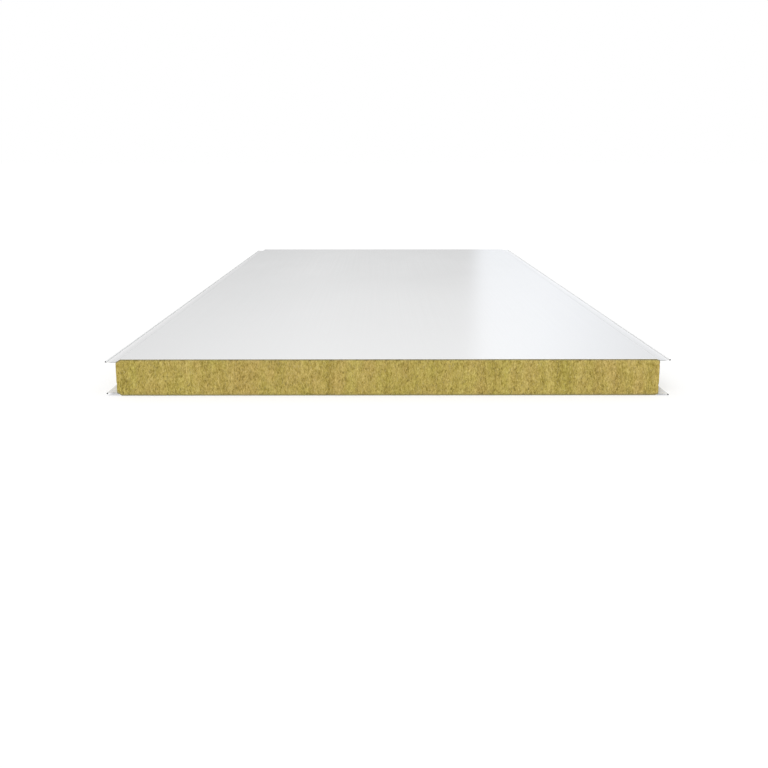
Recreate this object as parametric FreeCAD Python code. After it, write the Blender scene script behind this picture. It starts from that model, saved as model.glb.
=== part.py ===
import FreeCAD, Part

import math
import os
from collections import namedtuple

# Insulated sandwich panel: a mineral wool core bonded between two roll-formed steel facings.
#
# Millimetres. X runs across the panel, Y along it, and Z up through its thickness. The origin is
# below the middle of the panel, in the plane of the inner facing, on which the panel lies.
#
# Each facing is one strip of sheet with a flange along each long edge. The male edge is at -X and
# the female edge at +X. The female flanges of one panel lap over the male flanges of the next, so
# the male flanges are set further in from the faces, by just what that lap needs.

# Driving dimensions
cover_width = 1180.0  # what one panel adds to the width of a wall
panel_length = 2800.0
panel_thickness = 80.0  # over both facings
sheet_thickness = 0.7
flange_projection = 22.0  # how far the flanges stand out past the wool
joint_gap = 2.0  # from a flange's tip to the next panel's wool
bead_radius = 0.8  # inside the bead that is curled at a flange's tip
bead_turn = 290.0  # how far the bead is curled, which leaves a slit over the flange
bead_cover = 0.8  # how far the female bead stays below the face
lap_clearance = 0.4  # between a male bead and the female flange over it
joggle_radius = 1.0  # inside the two bends that set a flange in from its face
male_joggle_angle = 34.0
female_joggle_angle = 24.0

# Worked out from them
wool_width = cover_width - flange_projection - joint_gap
bead_outer_radius = bead_radius + sheet_thickness
bead_height = 2 * bead_outer_radius
female_inset = bead_cover + bead_height - sheet_thickness
male_inset = female_inset + lap_clearance + bead_height
mid_plane = panel_thickness / 2

# A strip's mid-line is a list of moves: straight runs, and bends of a turn in degrees about an
# inside radius. A turn to the left is positive.
Run = namedtuple("Run", "length")
Bend = namedtuple("Bend", "turn radius")
Straight = namedtuple("Straight", "start end left")
Curve = namedtuple("Curve", "centre radius side first turn")


def direction(degrees):
    """Unit vector in the section plane, turned from +X towards +Z."""
    angle = math.radians(degrees)
    return FreeCAD.Vector(math.cos(angle), 0, math.sin(angle))


def trace(start, heading, moves):
    """Follow a strip's mid-line through its moves, and give the spans that it is made of."""
    place = start
    spans = []
    for move in moves:
        if isinstance(move, Run):
            end = place + direction(heading) * move.length
            spans.append(Straight(place, end, direction(heading + 90)))
            place = end
        else:
            side = math.copysign(1, move.turn)
            radius = move.radius + sheet_thickness / 2
            first = heading - side * 90
            centre = place - direction(first) * radius
            spans.append(Curve(centre, radius, side, first, move.turn))
            heading += move.turn
            place = centre + direction(first + move.turn) * radius
    return spans


def parallel_edge(span, shift):
    """The edge beside a span of the mid-line, shifted to its left."""
    if isinstance(span, Straight):
        step = span.left * shift
        return Part.LineSegment(span.start + step, span.end + step).toShape()
    radius = span.radius - span.side * shift
    points = [
        span.centre + direction(span.first + share * span.turn) * radius for share in (0, 0.5, 1)
    ]
    return Part.Arc(*points).toShape()


def joining_edge(first_point, second_point):
    return Part.LineSegment(first_point, second_point).toShape()


def start_of(edge):
    return edge.valueAt(edge.FirstParameter)


def end_of(edge):
    return edge.valueAt(edge.LastParameter)


def joggle_slope(inset, angle):
    """Length of the straight slope between the two bends of a joggle."""
    bend_drop = 2 * (joggle_radius + sheet_thickness / 2) * (1 - math.cos(math.radians(angle)))
    return (inset - bend_drop) / math.sin(math.radians(angle))


def joggle_width(inset, angle):
    """How far a joggle reaches across the panel."""
    bends = 2 * (joggle_radius + sheet_thickness / 2) * math.sin(math.radians(angle))
    return bends + joggle_slope(inset, angle) * math.cos(math.radians(angle))


def joggle(inset, angle):
    """Moves that step a strip down from its face, on the way out to a +X edge."""
    return [
        Bend(-angle, joggle_radius),
        Run(joggle_slope(inset, angle)),
        Bend(angle, joggle_radius),
    ]


def flange():
    """Moves from the wool's side out to the tip, and round in a curled bead."""
    return [Run(flange_projection - bead_outer_radius), Bend(bead_turn, bead_radius)]


def inward(moves):
    """The same moves on the way in from a -X edge: mirrored and walked backwards."""
    return moves[::-1]


def outer_facing_spans():
    """Mid-line of the outer facing, from the male tip to the female tip."""
    male_joggle = joggle(male_inset, male_joggle_angle)
    female_joggle = joggle(female_inset, female_joggle_angle)
    flat = (
        wool_width
        - joggle_width(male_inset, male_joggle_angle)
        - joggle_width(female_inset, female_joggle_angle)
    )
    moves = (
        inward(flange())
        + inward(male_joggle)
        + [Run(flat)]
        + female_joggle
        + flange()
    )
    bead_centre = FreeCAD.Vector(
        -wool_width / 2 - flange_projection + bead_outer_radius,
        0,
        panel_thickness - male_inset - sheet_thickness + bead_outer_radius,
    )
    strip_end = bead_centre + direction(-bead_turn - 90) * (bead_radius + sheet_thickness / 2)
    return trace(strip_end, -bead_turn, moves)


def bonded_spans():
    """The part of the outer facing that is bonded to the wool: all but the two flanges."""
    flange_moves = len(flange())
    return outer_facing_spans()[flange_moves:-flange_moves]


def full_length(edges):
    """Solid of the closed section that these edges make, over the length of the panel."""
    section = Part.Face(Part.Wire(Part.__sortEdges__(edges)))
    section.translate(FreeCAD.Vector(0, -panel_length / 2, 0))
    return section.extrude(FreeCAD.Vector(0, panel_length, 0))


def mirrored(shape):
    """The same shape on the other side of the panel's mid-plane."""
    return shape.mirror(FreeCAD.Vector(0, 0, mid_plane), FreeCAD.Vector(0, 0, 1))


def outer_facing():
    spans = outer_facing_spans()
    finished_side = [parallel_edge(span, sheet_thickness / 2) for span in spans]
    wool_side = [parallel_edge(span, -sheet_thickness / 2) for span in spans]
    cut_edges = [
        joining_edge(start_of(finished_side[0]), start_of(wool_side[0])),
        joining_edge(end_of(finished_side[-1]), end_of(wool_side[-1])),
    ]
    return full_length(finished_side + wool_side + cut_edges)


def wool_core():
    top = [parallel_edge(span, -sheet_thickness / 2) for span in bonded_spans()]
    bottom = [mirrored(edge) for edge in top]
    male_corner = start_of(top[0])
    female_corner = end_of(top[-1])
    sides = []
    for corner in (male_corner, female_corner):
        below = FreeCAD.Vector(corner.x, 0, panel_thickness - corner.z)
        sides.append(joining_edge(corner, below))
    return full_length(top + bottom + sides)


def nodes():
    outer = outer_facing()
    return {
        "outer_facing": outer,
        "inner_facing": mirrored(outer),
        "wool_core": wool_core(),
    }


os.makedirs("parts", exist_ok=True)
for name, shape in nodes().items():
    shape.exportStep(f"parts/{name}.step")
    box = shape.BoundBox
    print(
        f"{name}: valid {shape.isValid()}, {shape.ShapeType}, {shape.Volume / 1e6:.3f} dm3,",
        f"{box.XLength:.1f} x {box.YLength:.1f} x {box.ZLength:.2f} mm",
    )
print(f"wool {wool_width:.1f} mm wide, male inset {male_inset:.2f}, female inset {female_inset:.2f}")
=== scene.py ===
# %% [markdown]
# # An insulated sandwich panel
#
# The panel is a slab of mineral wool with a thin steel sheet bonded to each side. The sheets are
# white and almost flat, so their look is all in the finish. The wool is the opposite: it is one
# colour, and its look is all in the relief of its sawn faces. So the steel keeps the shapes of the
# CAD frame and gets a careful material, and the wool gets a new, rough mesh in place of its plain
# block.

# %% Load the frame
import math

import bpy
import numpy as np
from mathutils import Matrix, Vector, noise


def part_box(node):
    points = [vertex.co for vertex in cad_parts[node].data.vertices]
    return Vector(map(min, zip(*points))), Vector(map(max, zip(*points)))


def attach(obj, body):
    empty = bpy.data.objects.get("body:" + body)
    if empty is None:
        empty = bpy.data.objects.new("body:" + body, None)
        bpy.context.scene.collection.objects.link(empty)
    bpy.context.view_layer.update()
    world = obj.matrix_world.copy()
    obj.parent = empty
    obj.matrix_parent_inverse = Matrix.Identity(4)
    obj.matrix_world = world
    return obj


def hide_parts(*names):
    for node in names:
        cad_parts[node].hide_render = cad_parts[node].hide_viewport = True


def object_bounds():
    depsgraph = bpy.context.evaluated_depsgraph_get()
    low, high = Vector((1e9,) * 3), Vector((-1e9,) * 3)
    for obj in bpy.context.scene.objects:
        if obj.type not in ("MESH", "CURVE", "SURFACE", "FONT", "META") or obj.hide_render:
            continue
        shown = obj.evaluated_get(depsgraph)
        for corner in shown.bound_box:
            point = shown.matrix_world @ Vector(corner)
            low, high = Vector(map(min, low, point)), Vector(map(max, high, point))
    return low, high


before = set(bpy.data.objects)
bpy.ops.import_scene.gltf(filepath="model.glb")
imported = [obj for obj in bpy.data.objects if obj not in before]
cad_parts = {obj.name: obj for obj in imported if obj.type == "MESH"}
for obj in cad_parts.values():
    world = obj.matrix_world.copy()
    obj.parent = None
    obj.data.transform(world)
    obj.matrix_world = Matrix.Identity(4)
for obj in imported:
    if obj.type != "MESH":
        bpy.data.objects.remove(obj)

cad_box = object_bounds()
MM = 0.001


def in_mm(length):
    return f"{length / MM:.3g} mm"


print("CAD nodes:", sorted(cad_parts))

# %% [markdown]
# ## Writing node trees as plain Python
#
# A material is a tree of nodes. Written out one node at a time, even a simple mask takes many
# lines. Here a small class wraps a socket, so that `1 - mask * 0.5` adds the Math nodes by itself.
# Every other node comes from one method, `add`, which takes the node's type, its settings, and the
# values or links of its sockets.

# %% A number that comes out of a node
class Value:
    def __init__(self, nodes, socket):
        self.nodes = nodes
        self.socket = socket

    def math(self, operation, *numbers):
        return self.nodes.add("Math", {"operation": operation}, dict(enumerate(numbers)))

    def __add__(self, other):
        return self.math("ADD", self, other)

    __radd__ = __add__

    def __mul__(self, other):
        return self.math("MULTIPLY", self, other)

    __rmul__ = __mul__

    def __sub__(self, other):
        return self.math("SUBTRACT", self, other)

    def __rsub__(self, other):
        return self.math("SUBTRACT", other, self)

    def above(self, limit):
        """1 where the value is above the limit, 0 elsewhere."""
        return self.math("GREATER_THAN", self, limit)

    def at_least(self, other):
        return self.math("MAXIMUM", self, other)

    def size(self):
        return self.math("ABSOLUTE", self)

    def sign(self):
        return self.math("SIGN", self)

    def between(self, low, high):
        """0 at low, 1 at high, with a straight ramp from one to the other."""
        return self.nodes.add("MapRange", {"clamp": True}, {0: self, 1: low, 2: high})


print("sums and comparisons of values now add their own nodes")

# %% The tree that the nodes are added to
class Tree:
    def __init__(self, tree):
        self.tree = tree
        tree.nodes.clear()

    def add(self, kind, settings=None, sockets=None, output=0):
        """Add a node: first its settings, then its sockets. Gives one of its outputs."""
        node = self.tree.nodes.new("ShaderNode" + kind)
        for name, setting in (settings or {}).items():
            if name == "stops":
                self.set_stops(node.color_ramp.elements, setting)
            else:
                setattr(node, name, setting)
        for name, value in (sockets or {}).items():
            if isinstance(value, Value):
                self.tree.links.new(value.socket, node.inputs[name])
            else:
                node.inputs[name].default_value = value
        return Value(self, node.outputs[output]) if node.outputs else None

    def set_stops(self, elements, stops):
        """Give a ramp its stops. A new ramp has two, for the first and the last."""
        for element, (place, colour) in zip(elements, (stops[0], stops[-1])):
            element.position = place
            element.color = (*colour, 1)
        for place, colour in stops[1:-1]:
            elements.new(place).color = (*colour, 1)


print("any node can now be added in one line")

# %% [markdown]
# The nodes that come up again and again get short forms, which say in one word what they are for.
# Most of them work on a place: a point of the piece, in metres, so that every pattern keeps its
# real size.

# %% Short forms of the nodes that are used most
class Nodes(Tree):
    def place(self):
        return self.add("TexCoord", None, None, "Object")

    def axes(self, vector):
        """The three numbers of a vector."""
        return [self.add("SeparateXYZ", None, {0: vector}, axis) for axis in range(3)]

    def facing(self):
        """The way that the surface faces, as three numbers."""
        return self.axes(self.add("NewGeometry", None, None, "Normal"))

    def ramp(self, factor, *stops):
        """A colour for each value of the factor, from stops of a place and a colour."""
        return self.add("ValToRGB", {"stops": stops}, {0: factor})

    def mix(self, factor, first, second, blend="MIX"):
        """The first colour at 0, the second at 1."""
        settings = {"data_type": "RGBA", "blend_type": blend}
        return self.add("Mix", settings, {0: factor, 6: first, 7: second}, 2)

    def noise(self, place, sizes, detail=2.0, roughness=0.5):
        """Soft noise from 0 to 1 whose blobs have these sizes along X, Y and Z, in metres."""
        per_metre = [1 / size for size in sizes]
        scaled = self.add("VectorMath", {"operation": "MULTIPLY"}, {0: place, 1: per_metre})
        sockets = {"Vector": scaled, "Scale": 1.0, "Detail": detail, "Roughness": roughness}
        return self.add("TexNoise", None, sockets)

    def point_value(self, name):
        """A number that was stored for each point of the mesh."""
        return self.add("Attribute", {"attribute_name": name}, None, "Fac")

    def surface(self, shader):
        self.add("OutputMaterial", None, {"Surface": shader})


print("short forms:", [name for name in vars(Nodes) if name[0] != "_"])

# %% Start a material
def new_material(name):
    """A material with an empty tree, and the tree to fill."""
    material = bpy.data.materials.new(name)
    material.use_nodes = True
    return material, Nodes(material.node_tree)


print("a new material starts with an empty tree")

# %% [markdown]
# ## The coated steel
#
# The facings are made from galvanised coil that was painted before it was rolled to shape. The
# finished side has a glossy white coat, the side to the wool a thinner and duller back coat, and
# the sheared ends show bare zinc and steel. The flange's tip is curled into a bead, which shows
# the white coat of the side that faces the weather.
#
# Three separate materials would need the faces of the CAD mesh to be sorted. One material with
# masks is simpler: the way a surface faces, and its distance from the panel's long edge, tell which
# of the three it is.

# %% Colours and sizes of the steel's finish
white_coat = (0.803, 0.807, 0.812, 1)
whiter_flange_coat = (0.93, 0.933, 0.936, 1)
back_coat = (0.80, 0.80, 0.795, 1)
sheared_dull = (0.84, 0.83, 0.80)
sheared_bright = (0.97, 0.96, 0.93)
# near black, painted as shade: in the bead's hollow, at the bead's end and at the flange's root
painted_shade_black = (0.02, 0.02, 0.022, 1)
bead_width = 3.0 * MM
panel_edge = cad_box[1].x
print("the long edges are", in_mm(panel_edge), "from the middle, with beads", in_mm(bead_width), "wide")

# %% Where the back coat and the sheared ends are
looks_in = 0.1  # a surface that faces the wool by more than this has the back coat
looks_along = 0.7  # one that faces along the panel by more than this is sheared


def from_long_edge(nodes):
    """Distance in from the nearer long edge of the panel, in metres."""
    across = nodes.axes(nodes.place())[0]
    return panel_edge - across.size()


def back_coat_mask(nodes, finished_up):
    """The side to the wool, of a facing whose finished side looks up (1) or down (-1)."""
    wool_side = (nodes.facing()[2] * -finished_up).above(looks_in)
    return wool_side * from_long_edge(nodes).above(bead_width)


def sheared_mask(nodes):
    """The ends of the sheet, which face along the panel."""
    return nodes.facing()[1].size().above(looks_along)


print("masks ready: back coat and sheared ends")

# %% [markdown]
# Two stretches of a sheared end are painted near black as shade: the bead's end, where the hollow of
# the curl is in shade, and the root of the flange, in the shade next to the wool. The inside of the
# bead is painted near black along its whole length, as the shade in a narrow tube. The flange, which
# lies a little lower than the face, and the bead are painted a little whiter than the face.

# %% Where the sheared ends are painted dark as shade
bead_fade = (bead_width, bead_width + 1 * MM)
root_starts = (6 * MM, 14 * MM)
root_ends = (24 * MM, 27 * MM)


def dark_ends(nodes):
    """The ends of the bead and of the flange's root, which are painted near black as shade."""
    from_edge = from_long_edge(nodes)
    bead_end = 1 - from_edge.between(*bead_fade)
    root = from_edge.between(*root_starts) * (1 - from_edge.between(*root_ends))
    return bead_end.at_least(root)


print("the dark root lies", in_mm(root_starts[0]), "to", in_mm(root_ends[1]), "in from the edge")

# %% Where the bead's shade is painted
bead_hollow = (0.1 * MM, 0.2 * MM)  # how far from the bead's middle the shade starts and is full


def inside_bead(nodes):
    """The inside of the bead, where the surface faces the middle of the bead and is painted near black
    as shade.
    """
    across = nodes.axes(nodes.place())[0]
    from_edge = from_long_edge(nodes)
    outwards = nodes.facing()[0] * across.sign()
    past_middle = bead_width / 2 - from_edge
    in_bead = 1 - from_edge.above(bead_width)
    return in_bead * (outwards * past_middle * -1).between(*bead_hollow)


print("the hollow of the bead is dark from", in_mm(bead_hollow[1]), "out from its middle")

# %% Where the coat is painted whiter
whiter_flange_width = 18 * MM


def whiter_flange_strip(nodes):
    """The bead and the outer part of the flange, which are painted a little whiter than the face."""
    return 1 - from_long_edge(nodes).between(bead_width, whiter_flange_width)


print("the coat is fresh up to", in_mm(whiter_flange_width), "in from the edge")

# %% [markdown]
# Paint on coil is smooth but never a mirror. Three things show it: the fine pebbling of the paint,
# called orange peel, a slow waviness of the sheet that bends long reflections, and faint lines along
# the direction in which it was rolled. All three go into the bump and the roughness, at their real
# sizes, and hardly at all into the colour.

# %% Sizes of the patterns in the steel
cloud_size = (0.35, 0.9, 0.35)
rolling_size = (0.004, 1.2, 0.004)
peel_size = (0.0022, 0.0022, 0.0022)
wave_size = (0.16, 0.55, 0.16)
grain_size = (0.0006, 0.01, 0.0002)
print("orange peel", in_mm(peel_size[0]), "across, and waves", in_mm(wave_size[0]), "across")


# %% Colours of the paint and of the bare metal
def paint_colour(nodes, back, clouds, rolling):
    # the bead and the outer flange are painted a little whiter than the face
    paint = nodes.mix(whiter_flange_strip(nodes), white_coat, whiter_flange_coat)
    paint = nodes.mix(back, paint, back_coat)
    # the inside of the bead is painted near black, as the shade in the curl
    paint = nodes.mix(inside_bead(nodes), paint, painted_shade_black)
    shade = 1 + (clouds - 0.5) * 0.03 + (rolling - 0.5) * 0.01
    bright = nodes.add("CombineColor", None, {0: shade, 1: shade, 2: shade})
    return nodes.mix(1.0, paint, bright, "MULTIPLY")


def metal_colour(nodes):
    grain = nodes.noise(nodes.place(), grain_size, 2)
    metal = nodes.ramp(grain, (0.3, sheared_dull), (0.6, sheared_bright))
    # the bead's end and the flange's root are painted near black, as shade
    return nodes.mix(dark_ends(nodes), metal, painted_shade_black)


print("colours ready: paint and sheared metal")

# %% Build the steel material
gloss_roughness = 0.20
back_dulling = 0.25
sheared_dulling = 0.15
sheared_metallic = 0.3
steel_bump = {"Distance": 1 * MM, "Strength": 0.5}


def coated_steel(name, finished_up):
    material, nodes = new_material(name)
    place = nodes.place()
    back = back_coat_mask(nodes, finished_up)
    sheared = sheared_mask(nodes)
    clouds = nodes.noise(place, cloud_size, 3)
    rolling = nodes.noise(place, rolling_size, 3)
    peel = nodes.noise(place, peel_size, 2)
    waviness = nodes.noise(place, wave_size, 1)

    colour = nodes.mix(sheared, paint_colour(nodes, back, clouds, rolling), metal_colour(nodes))
    gloss = gloss_roughness + (peel - 0.5) * 0.05 + (rolling - 0.5) * 0.03 + (clouds - 0.5) * 0.06
    rough = gloss + back * back_dulling + sheared * sheared_dulling
    metallic = sheared * sheared_metallic
    height = peel * 0.004 + rolling * 0.001 + waviness * 0.5
    bump = nodes.add("Bump", None, {"Height": height, **steel_bump})
    sockets = {"Base Color": colour, "Roughness": rough, "Metallic": metallic, "Normal": bump}
    nodes.surface(nodes.add("BsdfPrincipled", None, sockets))
    return material


print("steel material ready, with a roughness of about", gloss_roughness)

# %% Put it on both facings
for node_name, finished_up in (("outer_facing", 1), ("inner_facing", -1)):
    facing_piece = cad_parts[node_name]
    coat = coated_steel("coated_" + node_name, finished_up)
    for slot in facing_piece.material_slots:
        slot.material = coat
    print(node_name, "has", len(facing_piece.data.polygons), "faces, all coated")

# %% [markdown]
# ## The wool's shape
#
# The core is sawn out of a slab of mineral wool and turned so that its layers stand upright between
# the facings. The saw leaves a face that is flat as a whole and ragged everywhere: layers stand
# proud or lie back, small clumps are torn out, and the edge under the steel crumbles.
#
# A bump map alone would give a smooth outline and no real shadows. Here a fence of posts runs round
# the core, each post carries a column of points, and every point steps back from the sawn plane by
# its own amount. The upright height of a post comes from the section of the CAD node, so the wool
# ends just under the steel, in the folds too.

# %% Read the section of the core
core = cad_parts["wool_core"]
core_low, core_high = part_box("wool_core")
middle_height = (core_low.z + core_high.z) / 2
section = sorted({(round(v.co.x, 6), round(v.co.z, 6)) for v in core.data.vertices})
top_line = np.array([point for point in section if point[1] > middle_height])
bottom_line = np.array([point for point in section if point[1] < middle_height])
print("core section has", len(top_line), "points on top and", len(bottom_line), "below")


def wool_top(x):
    return np.interp(x, top_line[:, 0], top_line[:, 1])


def wool_bottom(x):
    return np.interp(x, bottom_line[:, 0], bottom_line[:, 1])


# %% [markdown]
# The relief is solid noise, which means that it has a value at every point in space. That makes the
# faces agree at the corners without any work. It is stretched: short across the layers, longer along
# the panel and longest upwards, as the fibres run. A slow sideways shift bends the layers, so that
# they don't look drawn with a ruler.

# %% Sizes and depths of the relief
sway_size = 0.045
sway = 0.005
layer_size = (0.0052, 0.013, 0.021)
clump_size = 0.016
torn_size = (0.0046, 0.007, 0.009)
mean_depth = 0.6 * MM
layer_depth = 0.45 * MM
clump_depth = 0.4 * MM
torn_depth = 7.0 * MM
torn_from = 0.33  # the noise above this value is torn out
print("layers in the wool are about", in_mm(layer_size[0]), "wide")


# %% How far the sawn face steps back
def stretched_noise(across, point, sizes, raised=0):
    """Noise whose blobs have these sizes. A raised one shows another part of the noise."""
    scaled = (across / sizes[0], point.y / sizes[1], point.z / sizes[2] + raised)
    return noise.noise(Vector(scaled))


def wool_relief(point):
    """Depth of the sawn surface behind the plane of the saw cut, in metres."""
    across = point.x + noise.noise(point / sway_size) * sway
    layer = stretched_noise(across, point, layer_size)
    clump = noise.noise(point / clump_size)
    torn = max(0, stretched_noise(across, point, torn_size, 40) - torn_from)
    return mean_depth - layer_depth * layer - clump_depth * clump + torn_depth * torn


cut = [wool_relief(Vector((step * MM, core_low.y, middle_height))) for step in range(500)]
print("the sawn face steps back", in_mm(min(cut)), "to", in_mm(max(cut)))

# %% [markdown]
# Two places need their own depth. Under the steel the wool has crumbled, more at the top than at the
# bottom, where it rests on its facing. At the four corners the saw leaves it crisp, so the relief is
# shallow there.

# %% Crumbled rims
rim_height = 3.8 * MM
upper_rim_depth = 2.8 * MM
lower_rim_depth = 1.2 * MM
rim_lump_size = 0.006
ragged_mean = 0.75
ragged_spread = 0.9


def crumbled_rim(point, below_steel, above_steel):
    """Extra depth where the wool meets a facing, in metres."""
    lumps = noise.noise(Vector((point.x, point.y, 0)) / rim_lump_size)
    upper = max(0, 1 - below_steel / rim_height) * upper_rim_depth
    lower = max(0, 1 - above_steel / rim_height) * lower_rim_depth
    return (upper + lower) * (ragged_mean + ragged_spread * lumps)


print("the rims crumble", in_mm(upper_rim_depth), "and", in_mm(lower_rim_depth), "deep")

# %% Crisp corners
corner_zone = 8 * MM
corner_relief = 0.3


def near_corner(place):
    """Share of the relief that is left at a place in the plan."""
    from_side = min(place.x - core_low.x, core_high.x - place.x)
    from_end = min(place.y - core_low.y, core_high.y - place.y)
    from_corner = max(from_side, from_end)
    return corner_relief + (1 - corner_relief) * min(1, from_corner / corner_zone)


print("share of the relief that is left at a corner:", round(near_corner(core_low), 2))

# %% [markdown]
# The posts stand along the four sides of the plan, closer together on the ends, which are seen from
# near by. Each knows which way is out. A post at a corner points along the diagonal.

# %% Stand the posts round the core
core_corners = [
    Vector((core_low.x, core_low.y)),
    Vector((core_high.x, core_low.y)),
    Vector((core_high.x, core_high.y)),
    Vector((core_low.x, core_high.y)),
]
end_spacing = 2.2 * MM
side_spacing = 5.0 * MM
corner_setback = 0.3 * MM


def fence():
    """Posts round the core, as pairs of a place in the plan and the way out."""
    spacings = (end_spacing, side_spacing, end_spacing, side_spacing)
    posts = []
    for number, spacing in enumerate(spacings):
        start = core_corners[number]
        end = core_corners[(number + 1) % 4]
        along = (end - start).normalized()
        out = Vector((along.y, -along.x))
        count = round((end - start).length / spacing)
        corner_out = (out - along).normalized()
        posts.append((start - corner_out * corner_setback, corner_out))
        posts += [(start.lerp(end, step / count), out) for step in range(1, count)]
    return posts


posts = fence()
print("the fence has", len(posts), "posts")

# %% [markdown]
# A column also notes how deep each of its points is, and how near it is to the steel. Both go along
# to the material: torn hollows are painted darker, as their shade, and a grey line under the steel is
# painted for the glue and as the shade under the steel's edge.

# %% Give every post its column of points
rows = 37
glue_and_shade_reach = 4.4 * MM  # how far the glue and the painted shade reach in from the steel
tuck = 12 * MM  # how far the mesh runs in under the steel before it closes
tuck_gap = 0.2 * MM  # how far it stays off the steel there


def column(place, out):
    """Points of one post from bottom to top, with the depth and the share of glue and painted shade at
    each.
    """
    low = wool_bottom(place.x)
    high = wool_top(place.x)
    points, depths, glue = [], [], []
    for row in range(rows):
        height = low + (high - low) * row / (rows - 1)
        flat = Vector((place.x, place.y, height))
        rim = crumbled_rim(flat, high - height, height - low)
        depth = (wool_relief(flat) + rim) * near_corner(place)
        points.append((flat.x - out.x * depth, flat.y - out.y * depth, height))
        depths.append(depth)
        glue.append(max(0, 1 - min(height - low, high - height) / glue_and_shade_reach))
    return points, depths, glue


def tucked(place, out, edge_line):
    """The point of a post that is hidden under the steel, in from the rim."""
    x = place.x - out.x * tuck
    y = place.y - out.y * tuck
    inset = tuck_gap if edge_line is wool_bottom else -tuck_gap
    return (x, y, float(edge_line(x)) + inset)


print("every column has", len(column(*posts[0])[0]), "points in sight")

# %% Join the columns into walls
per_post = rows + 2


def wool_walls():
    """Points and faces of the sawn walls, and the depth and the share of glue and painted shade of each
    point.
    """
    points, faces, depths, glue = [], [], [], []
    for place, out in posts:
        upright, upright_depths, upright_glue_and_shade = column(place, out)
        points += [tucked(place, out, wool_bottom), *upright, tucked(place, out, wool_top)]
        depths += [0, *upright_depths, 0]
        glue += [1, *upright_glue_and_shade, 1]
    for post in range(len(posts)):
        here = post * per_post
        there = (post + 1) % len(posts) * per_post
        for row in range(per_post - 1):
            faces.append((here + row, there + row, there + row + 1, here + row + 1))
    return points, faces, depths, glue


wool_points, wool_faces, wool_depths, wool_glue_and_shade = wool_walls()
print("the walls have", len(wool_points), "points and", len(wool_faces), "faces")

# %% [markdown]
# The mesh is closed over the top and the bottom, out of sight, so that no light leaks through it.
# Every post is joined to the nearest point of a spine along the panel's middle line, as rafters are
# joined to a hipped roof's ridge.

# %% The spine that the posts are joined to
def spine_place(place):
    """How far along the panel the nearest point of the spine is."""
    spine_end = core_high.y - core_high.x
    return min(max(round(place.y, 5), -spine_end), spine_end)


print("the spine ends", in_mm(spine_place(core_high)), "from the middle")


# %% Close the wool over the top and the bottom
def close_over(points, level, height):
    """Faces from one level of the posts to the spine, whose points are added to the others."""
    spine = {}
    for place, _ in posts:
        y = spine_place(place)
        if y not in spine:
            spine[y] = len(points)
            points.append((0, y, height))
    faces = []
    for post, (place, _) in enumerate(posts):
        following = (post + 1) % len(posts)
        ridge = spine[spine_place(place)]
        next_ridge = spine[spine_place(posts[following][0])]
        face = [post * per_post + level, following * per_post + level, next_ridge]
        if ridge != next_ridge:
            face.append(ridge)
        faces.append(face if level else face[::-1])
    return faces


wool_faces += close_over(wool_points, 0, core_low.z)
wool_faces += close_over(wool_points, per_post - 1, core_high.z)
spine_points = len(wool_points) - len(wool_depths)
wool_depths += [0] * spine_points
wool_glue_and_shade += [1] * spine_points
print("closed, the wool has", len(wool_points), "points and", len(wool_faces), "faces")

# %% [markdown]
# ## The wool's colour
#
# Mineral wool is spun from melted rock and held by a resin that turns it mustard brown. Close up it
# is a felt of pale and dark strands, a couple of millimetres wide and several times as tall. Between
# the strands it is dark, because little light comes back out. On a larger scale some patches are
# browner and some more olive.
#
# A scanned picture could show all that, but only at one size and with seams. Layers of noise have
# neither limit: bands, tufts, strands, specks and crumbs, each at its real size across the layers,
# along the panel and upwards, and a felt of fine fibres over them.

# %% Colours of the wool
# the darkest brown is painted shade, in the torn hollows and between the strands
hollow_shade_brown = (0.27, 0.20, 0.036)
deep_mustard = (0.43, 0.333, 0.086)
mustard = (0.512, 0.399, 0.105)
pale_strand = (0.70, 0.58, 0.215)
olive_shift = (0.955, 1.005, 0.87, 1)
tan_shift = (1.03, 0.98, 1.07, 1)
glue_and_shade_grey = (0.27, 0.252, 0.155, 1)
print("the wool is", mustard, "on the whole")

# %% Sizes of the patterns in the wool
band_size = (0.022, 0.05, 0.13)
tuft_size = (0.006, 0.012, 0.013)
strand_size = (0.0021, 0.0055, 0.007)
speck_size = (0.0013, 0.0016, 0.0040)
crumb_size = (0.0019, 0.003, 0.0062)
fibre_size = (0.0005, 0.0005, 0.007)
patch_size = (0.035, 0.06, 0.09)
print("strands in the felt are", in_mm(strand_size[0]), "wide and", in_mm(strand_size[2]), "tall")

# %% Bend the layers sideways
bends = {"Scale": 24.0, "Detail": 1.0}
bend_reach = (0.012, 0.0, 0.0)


def swayed_place(nodes, place):
    """The place, moved to and fro across the layers by slow noise."""
    shift = nodes.add("TexNoise", None, {"Vector": place, **bends}, "Color")
    sockets = {0: shift, 1: bend_reach, 2: place}
    return nodes.add("VectorMath", {"operation": "MULTIPLY_ADD"}, sockets)


print("the layers bend by up to", in_mm(bend_reach[0]))

# %% Fine fibres that cross each other
fibre_leans = (-0.7, 0.1, 0.9)
fibre_offset = 0.37  # from one layer of fibres to the next, so that no two are the same
fibre_edges = (0.45, 0.8)


def fibre_felt(nodes, place):
    """Thin ridges that lean three ways, from 0 between the fibres to 1 on them."""
    height = nodes.axes(place)[2]
    felt = None
    for number, lean in enumerate(fibre_leans):
        slid = height * lean + number * fibre_offset
        shift = nodes.add("CombineXYZ", None, {0: slid, 1: slid})
        leaning = nodes.add("VectorMath", {"operation": "ADD"}, {0: place, 1: shift})
        layer = nodes.noise(leaning, fibre_size, 2, 0.6)
        felt = layer.at_least(felt) if felt else layer
    return felt.between(*fibre_edges)


print("fibres lean", len(fibre_leans), "ways")

# %% [markdown]
# The same patterns make the light and the dark of the felt and its fine relief. The palest crumbs
# stand out as flecks, and the darkest are pinholes that go in deeper than the rest and are painted
# dark as the shade in them.

# %% Light and dark of the felt, and its fine relief
fleck_edges = (0.64, 0.76)
pinhole_edges = (0.28, 0.37)


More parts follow.
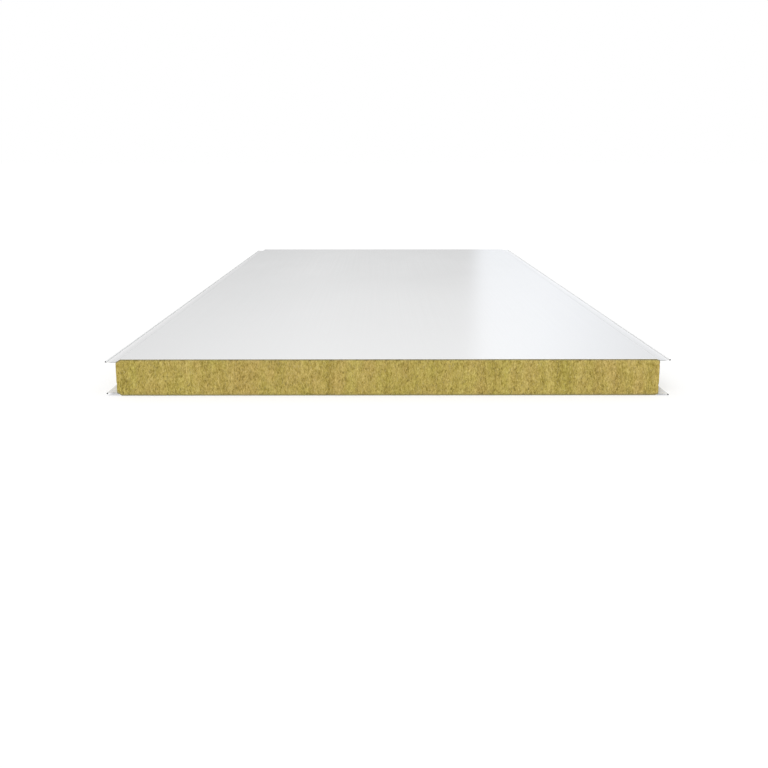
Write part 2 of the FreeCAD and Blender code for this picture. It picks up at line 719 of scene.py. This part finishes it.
def felt_pattern(nodes, place, swayed):
    """Tone of the felt, from dark at 0 to pale at 1, and its height for the bump."""
    bands = nodes.noise(swayed, band_size, 2)
    tufts = nodes.noise(swayed, tuft_size, 2)
    strands = nodes.noise(swayed, strand_size, 3, 0.6)
    specks = nodes.noise(swayed, speck_size, 2)
    crumbs = nodes.noise(swayed, crumb_size, 1)
    fibres = fibre_felt(nodes, place)
    flecks = crumbs.between(*fleck_edges)
    pinholes = 1 - crumbs.between(*pinhole_edges)
    tone = 0.5 + (bands - 0.5) * 0.65 + (tufts - 0.5) * 0.5 + (strands - 0.5)
    tone = tone + (specks - 0.5) * 1.25 + (fibres - 0.45) * 0.65
    # pinholes are painted dark, as the shade in them
    tone = tone + flecks * 0.3 - pinholes * 0.42
    height = strands + specks * 0.4 + tufts * 0.6 + fibres * 0.2 - pinholes * 0.6
    return tone, height


print("flecks above", fleck_edges[0], "and pinholes below", pinhole_edges[1], "of the crumbs")

# %% Colour of the felt
hollow_depth = (1.2 * MM, 4.5 * MM)
hollow_share = 0.8
glue_and_shade_share = 0.85


def felt_colour(nodes, tone, swayed):
    stops = ((0.05, hollow_shade_brown), (0.3, deep_mustard), (0.5, mustard), (0.95, pale_strand))
    felt = nodes.ramp(tone, *stops)
    # torn hollows are painted darker with depth, as their shade
    hollow_shade = nodes.point_value("depth").between(*hollow_depth)
    felt = nodes.mix(hollow_shade * hollow_share, felt, (*hollow_shade_brown, 1))
    # near the steel the wool is painted greyer and darker, for glue and as painted shade under the
    # steel's edge
    felt = nodes.mix(nodes.point_value("glue") * glue_and_shade_share, felt, glue_and_shade_grey)
    patches = nodes.noise(swayed, patch_size, 2)
    tint = nodes.mix(patches.between(0.3, 0.7), olive_shift, tan_shift)
    return nodes.mix(1.0, felt, tint, "MULTIPLY")


print("hollows are darkest from", in_mm(hollow_depth[1]), "deep")

# %% Build the wool material
wool_finish = {"Roughness": 0.95, "Specular IOR Level": 0.15}
wool_bump = {"Distance": 1.2 * MM, "Strength": 0.7}


def sawn_wool():
    material, nodes = new_material("sawn_mineral_wool")
    place = nodes.place()
    swayed = swayed_place(nodes, place)
    tone, height = felt_pattern(nodes, place, swayed)
    colour = felt_colour(nodes, tone, swayed)
    bump = nodes.add("Bump", None, {"Height": height, **wool_bump})
    sockets = {"Base Color": colour, "Normal": bump, **wool_finish}
    nodes.surface(nodes.add("BsdfPrincipled", None, sockets))
    return material


wool_material = sawn_wool()
print("made", wool_material.name)

# %% [markdown]
# A piece is made from plain lists of points and faces. Numbers that belong to the points can be
# stored along with the mesh, under a name, and the material reads them again by that name. So the
# depth and the share of glue and painted shade that were worked out with the shape also give the
# colour, and both always agree.

# %% Turn points and faces into a piece
def new_piece(name, points, faces, material, point_values=None):
    """A smooth piece of mesh. Its point values are lists of one number for each point."""
    mesh = bpy.data.meshes.new(name)
    mesh.from_pydata(points, [], faces)
    mesh.shade_smooth()
    mesh.materials.append(material)
    for value_name, numbers in (point_values or {}).items():
        attribute = mesh.attributes.new(value_name, "FLOAT", "POINT")
        attribute.data.foreach_set("value", numbers)
    piece = bpy.data.objects.new(name, mesh)
    bpy.context.scene.collection.objects.link(piece)
    return piece


print("pieces can now be made from points and faces")

# %% Put the wool in place of the plain core
wool_values = {"depth": wool_depths, "glue": wool_glue_and_shade}
wool_piece = new_piece("sawn_wool_core", wool_points, wool_faces, wool_material, wool_values)
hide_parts("wool_core")
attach(wool_piece, "root")
print("wool in place of the plain core")

# %% [markdown]
# ## Loose strands
#
# A saw doesn't cut every fibre. Thin strands are left lying over the sawn faces, most of them
# upright, and they catch the light as small pale lines. Hair could make them, but it would have to be
# turned into a mesh before the part can be used elsewhere. A few lines of mesh code do it at once:
# each strand is a three-sided thread through four points, pointed at both ends, which lifts off the
# wool in its middle. A random number goes along with each, for its shade.

# %% Sizes of the strands
strand_density = 75000  # in a square metre
thin = 0.08 * MM
thick = 0.34 * MM
short = 3 * MM
long = 12 * MM
clear_of_steel = 1.5 * MM
clear_of_corner = 0.7 * long
print("strands are", in_mm(short), "to", in_mm(long), "long")

# %% How the strands lie
lean_spread = 0.45  # in radians
bend_spread = 0.12  # share of the length
least_lift = 0.1 * MM
most_lift = 0.7 * MM
arching = 1.6  # how high the top of the arch is, in lifts
behind_cut = 1.1  # how many radii every point stays behind the plane of the saw cut
print("most strands lean less than", round(math.degrees(lean_spread)), "degrees")


# %% The line that a strand follows
def strand_line(rng, start, along, out, low, high):
    """Points of a strand from end to end, its radius, and the way across it."""
    lean = rng.normal(0, lean_spread)
    length = rng.uniform(short, long)
    radius = thin + (thick - thin) * rng.random() ** 5
    lift = rng.uniform(least_lift, most_lift)
    bend = rng.normal(0, bend_spread) * length
    upwards = Vector((0, 0, 1))
    direction = upwards * math.cos(lean) + along * math.sin(lean)
    sideways = along * math.cos(lean) - upwards * math.sin(lean)
    centre = start + upwards * rng.uniform(low, high)
    line = []
    for share in (-0.5, -0.2, 0.2, 0.5):
        arch = 1 - (2 * share) ** 2
        point = centre + direction * share * length + sideways * bend * arch
        point.z = min(max(point.z, low), high)
        proud = (lift + radius) * arch * arching - wool_relief(point) - radius
        line.append(point + out * min(proud, -behind_cut * radius))
    return line, radius, sideways


print("a strand's line has four points")

# %% A thread along the line
corner_turns = (0.5, 2.6, 4.7)  # in radians, about a third of a turn apart


def thread_points(line, radius, sideways, out):
    """The first point, three points round each point between, and the last point."""
    corners = [(math.cos(turn), math.sin(turn)) for turn in corner_turns]
    points = [line[0]]
    for point in line[1:-1]:
        points += [point + (sideways * c + out * s) * radius for c, s in corners]
    return [*points, line[-1]]


def thread_faces(first):
    """Faces of a thread whose points start at this number."""
    lower = first + 1
    upper = first + 4
    end = first + 7
    faces = []
    for side in range(3):
        following = (side + 1) % 3
        faces.append((first, lower + side, lower + following))
        faces.append((lower + side, upper + side, upper + following, lower + following))
        faces.append((upper + side, end, upper + following))
    return faces


print("a thread has", len(thread_faces(0)), "faces")

# %% Material of the strands
dull_strand = (0.50, 0.395, 0.13)
bright_strand = (0.68, 0.58, 0.27)
mottle_size = (0.002, 0.002, 0.003)
strand_finish = {"Roughness": 0.6, "Specular IOR Level": 0.3}


def loose_wool():
    material, nodes = new_material("loose_mineral_wool")
    mottle = nodes.noise(nodes.place(), mottle_size, 2)
    tone = nodes.point_value("shade") + (mottle - 0.5) * 0.6
    colour = nodes.ramp(tone, (0.1, deep_mustard), (0.5, dull_strand), (0.95, bright_strand))
    nodes.surface(nodes.add("BsdfPrincipled", None, {"Base Color": colour, **strand_finish}))
    return material


strand_wool = loose_wool()
print("made", strand_wool.name)


# %% Strands for a whole face
def loose_strands(name, start, end, seed, material):
    """A piece with the strands of the sawn face that stands over a line in the plan."""
    rng = np.random.default_rng(seed)
    along = (end - start).normalized()
    out = Vector((along.y, -along.x, 0))
    width = (end - start).length
    count = round(width * (core_high.z - core_low.z) * strand_density)
    points, faces, shades = [], [], []
    for _ in range(count):
        place = start + along * rng.uniform(clear_of_corner, width - clear_of_corner)
        low = wool_bottom(place.x) + clear_of_steel
        high = wool_top(place.x) - clear_of_steel
        line, radius, sideways = strand_line(rng, place, along, out, low, high)
        thread = thread_points(line, radius, sideways, out)
        faces += thread_faces(len(points))
        points += thread
        shades += [rng.random()] * len(thread)
    piece = new_piece(name, points, faces, material, {"shade": shades})
    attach(piece, "root")
    print(name, "has", count, "strands and", len(faces), "faces")


# %% Strands on all four faces
first_seed = 20
for number, side_name in enumerate(("front", "female_side", "back", "male_side")):
    start = core_corners[number].to_3d()
    end = core_corners[(number + 1) % 4].to_3d()
    loose_strands("strands_" + side_name, start, end, first_seed + number, strand_wool)

# %% [markdown]
# ## The floor, the light and the camera
#
# The panel lies on a plain white floor that has no visible end. A wide, soft sun from the front left
# is the key light, and the world fills in from all round. Together they light the top and the front
# to a level where a colour is rendered as it is written.
#
# The floor gives part of its own light to the camera and to reflections only. That keeps it white up
# to the horizon, and it still leaves room for the panel's shadow.

# %% Rays that show the background
def ray_shows_background(nodes):
    """1 for a ray from the camera, and for one that a glossy or clear surface sends on."""
    shown = nodes.add("LightPath", None, None, "Is Camera Ray")
    for kind in ("Is Glossy Ray", "Is Transmission Ray"):
        shown = shown.at_least(nodes.add("LightPath", None, None, kind))
    return shown


print("camera, glossy and transmission rays show the background")

# %% Floor
pure_white = (1, 1, 1, 1)
floor_reach = 400.0
floor_drop = 0.3 * MM  # how far it lies below the panel, so that the two faces don't fight
floor_paint = (0.80, 0.80, 0.80, 1)
floor_dimmed = (0.48, 0.48, 0.48, 1)
floor_glow = 0.55


def studio_floor():
    material, nodes = new_material("studio_floor")
    paint = nodes.add("BsdfDiffuse", None, {"Color": floor_paint})
    dimmed = nodes.add("BsdfDiffuse", None, {"Color": floor_dimmed})
    glow = nodes.add("Emission", None, {"Color": pure_white, "Strength": floor_glow})
    lifted = nodes.add("AddShader", None, {0: glow, 1: dimmed})
    shown = ray_shows_background(nodes)
    nodes.surface(nodes.add("MixShader", None, {0: shown, 1: paint, 2: lifted}))
    return material


floor_plan = [(-1, -1), (1, -1), (1, 1), (-1, 1)]
floor_corners = [(x * floor_reach, y * floor_reach, 0) for x, y in floor_plan]
floor = new_piece("floor", floor_corners, [(0, 1, 2, 3)], studio_floor())
floor.location.z = -floor_drop
print("the floor reaches", floor_reach, "m each way")

# %% World
fill_strength = 0.74
world = bpy.data.worlds.new("studio")
bpy.context.scene.world = world
world.use_nodes = True
sky = Nodes(world.node_tree)
fill = sky.add("Background", None, {"Color": pure_white, "Strength": fill_strength})
white = sky.add("Background", None, {"Color": pure_white, "Strength": 1.0})
light = sky.add("MixShader", None, {0: ray_shows_background(sky), 1: fill, 2: white})
sky.add("OutputWorld", None, {"Surface": light})
print("the world fills in at", fill_strength)

# %% Key light
sun_data = bpy.data.lights.new("key", "SUN")
sun_data.angle = math.radians(35)
sun_data.energy = 1.35
sun = bpy.data.objects.new("key", sun_data)
to_sun = Vector((-0.22, -0.70, 0.68))
sun.rotation_euler = to_sun.to_track_quat("Z", "Y").to_euler()
sun.visible_glossy = False
bpy.context.scene.collection.objects.link(sun)
print("the key light stands", round(math.degrees(math.asin(to_sun.normalized().z))), "degrees high")

# %% [markdown]
# A glossy white sheet looks like whatever stands round it. Here that is a ring of four cards: grey
# in general, with a cool and almost white part on the right, like a large soft lamp with an upright
# edge. The cards are lighter higher up, which makes the sheet lighter towards the viewer. They are
# seen in reflections only, so they neither light the scene nor hide the background.

# %% Tones of the cards
card_distance = 6.0
card_height = 4.5
card_strength = 1.25


def card_stops(*tones):
    """Stops of a ramp from the left card to the right one, from places in metres and tones."""
    stops = []
    for x, tone in tones:
        colour = tone if isinstance(tone, tuple) else (tone, tone, tone)
        place = (x + card_distance) / (2 * card_distance)
        stops.append((place, tuple(part / card_strength for part in colour)))
    return stops


print("the cards are", card_height, "m high")

# %% Tones low down, which the far part of the sheet reflects
low_tones = card_stops(
    (-6.0, 0.42),
    (-1.2, 0.38),
    (-0.6, 0.48),
    (0.1, 0.45),
    (0.82, 0.41),
    (0.96, (0.81, 0.84, 0.89)),
    (1.8, (0.84, 0.87, 0.92)),
    (2.6, 0.70),
    (6.0, 0.55),
)
print("low on the cards there are", len(low_tones), "tones")

# %% Tones high up, which the near part of the sheet reflects
high_tones = card_stops(
    (-6.0, 0.55),
    (-2.4, 0.66),
    (-1.4, 0.84),
    (-0.6, 0.93),
    (0.82, 0.88),
    (0.96, (1.20, 1.22, 1.25)),
    (1.5, (1.12, 1.15, 1.21)),
    (2.1, (0.86, 0.89, 0.95)),
    (2.6, (0.66, 0.68, 0.72)),
    (6.0, 0.58),
)
print("high on the cards there are", len(high_tones), "tones")

# %% Build the ring of cards
tone_heights = (0.5, 1.45)  # where the low tones end and the high ones start, in metres


def card_glow():
    material, nodes = new_material("reflection_cards")
    place = nodes.axes(nodes.place())
    across = place[0].between(-card_distance, card_distance)
    low = nodes.ramp(across, *low_tones)
    high = nodes.ramp(across, *high_tones)
    tone = nodes.mix(place[2].between(*tone_heights), low, high)
    nodes.surface(nodes.add("Emission", None, {"Color": tone, "Strength": card_strength}))
    return material


def card_ring():
    """Points and faces of four upright cards round the scene."""
    side = card_distance
    plan = [(-side, -side), (side, -side), (side, side), (-side, side)]
    points = [(x, y, z) for z in (0, card_height) for x, y in plan]
    faces = [(k, (k + 1) % 4, (k + 1) % 4 + 4, k + 4) for k in range(4)]
    return points, faces


cards = new_piece("reflection_cards", *card_ring(), card_glow())
cards.visible_camera = False
cards.visible_diffuse = False
cards.visible_transmission = False
cards.visible_shadow = False
print("the cards stand", card_distance, "m out on each side")

# %% [markdown]
# The camera looks along the panel from a little above its top face, so the top shows its whole
# length and the sawn end stays in full view. A focal length of about 48 mm keeps the perspective
# natural.

# %% Camera
front_end = cad_box[0].y
top_face = cad_box[1].z
camera_data = bpy.data.cameras.new("camera")
camera_data.sensor_width = 36
camera_data.lens = 47.69
camera = bpy.data.objects.new("camera", camera_data)
camera.location = (-0.0176, front_end - 2.1177, top_face + 0.4059)
camera.rotation_euler = (math.radians(90 - 12.258), 0, math.radians(-0.244))
bpy.context.scene.collection.objects.link(camera)
bpy.context.scene.camera = camera
bpy.context.scene.view_settings.view_transform = "Standard"
print("camera at", [round(part, 3) for part in camera.location])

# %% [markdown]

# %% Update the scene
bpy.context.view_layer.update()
